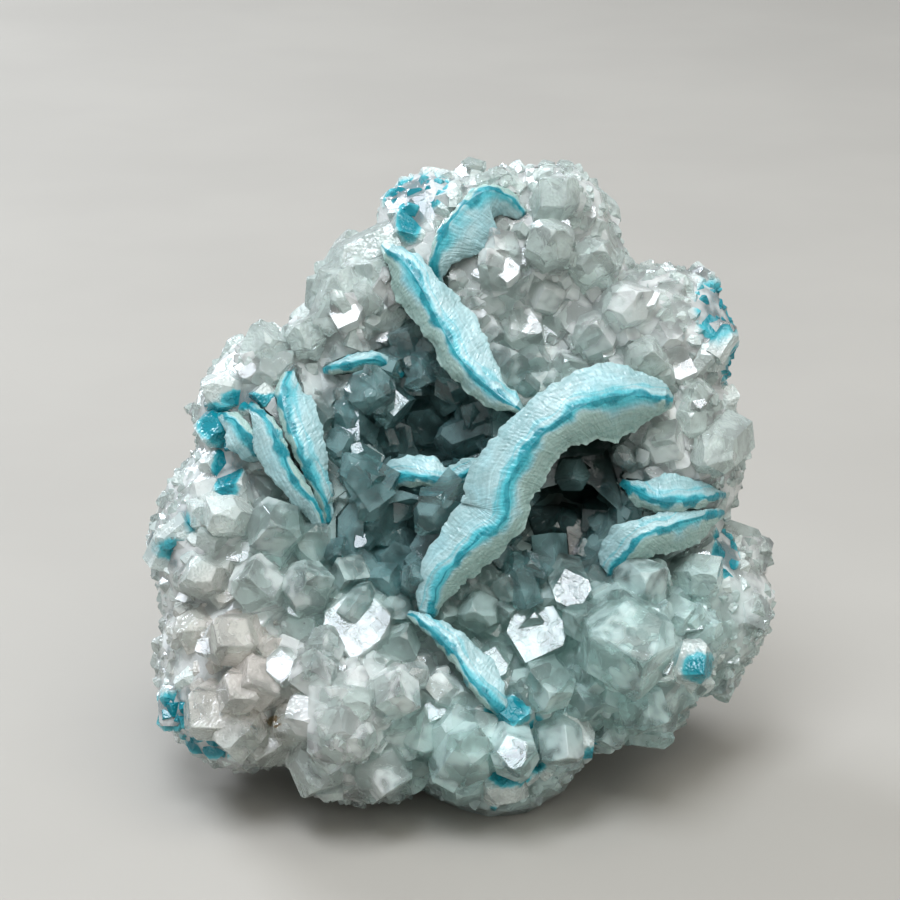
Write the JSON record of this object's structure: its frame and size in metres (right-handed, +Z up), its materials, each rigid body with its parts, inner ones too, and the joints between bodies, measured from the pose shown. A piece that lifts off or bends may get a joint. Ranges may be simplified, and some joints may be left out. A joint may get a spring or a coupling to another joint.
{
  "type": "turquoise mineral specimen",
  "caption": "Hand specimen of quartz points around a crystal-lined hollow, crossed by curved quartz blades seamed with turquoise, standing on a flat broken base.",
  "frame": {"origin": "middle of the specimen's footprint box, on the plane it stands on", "axes": "+Z up, -Y towards the viewer of the display face, +X to that viewer's right"},
  "size_m": [0.0718, 0.0562, 0.0681],
  "materials": {
    "milky_quartz": "milky quartz, bright flat crystal faces on a rough body",
    "hollow_quartz": "clear smoky quartz points with bright flat faces",
    "turquoise_seamed_quartz": "sugary pale quartz with a waxy turquoise seam along the edge"
  },
  "bodies": {
    "root": {"quartz_matrix": "milky_quartz", "hollow_crust": "hollow_quartz", "main_blade": "turquoise_seamed_quartz", "upper_blade": "turquoise_seamed_quartz", "crescent_blade": "turquoise_seamed_quartz", "lower_blade": "turquoise_seamed_quartz", "crown_blade": "turquoise_seamed_quartz", "left_spear_blade": "turquoise_seamed_quartz", "left_leaf_blade": "turquoise_seamed_quartz", "left_plate_blade": "turquoise_seamed_quartz", "right_upper_blade": "turquoise_seamed_quartz", "right_lower_blade": "turquoise_seamed_quartz", "upper_left_blade": "turquoise_seamed_quartz"}
  },
  "joints": []
}
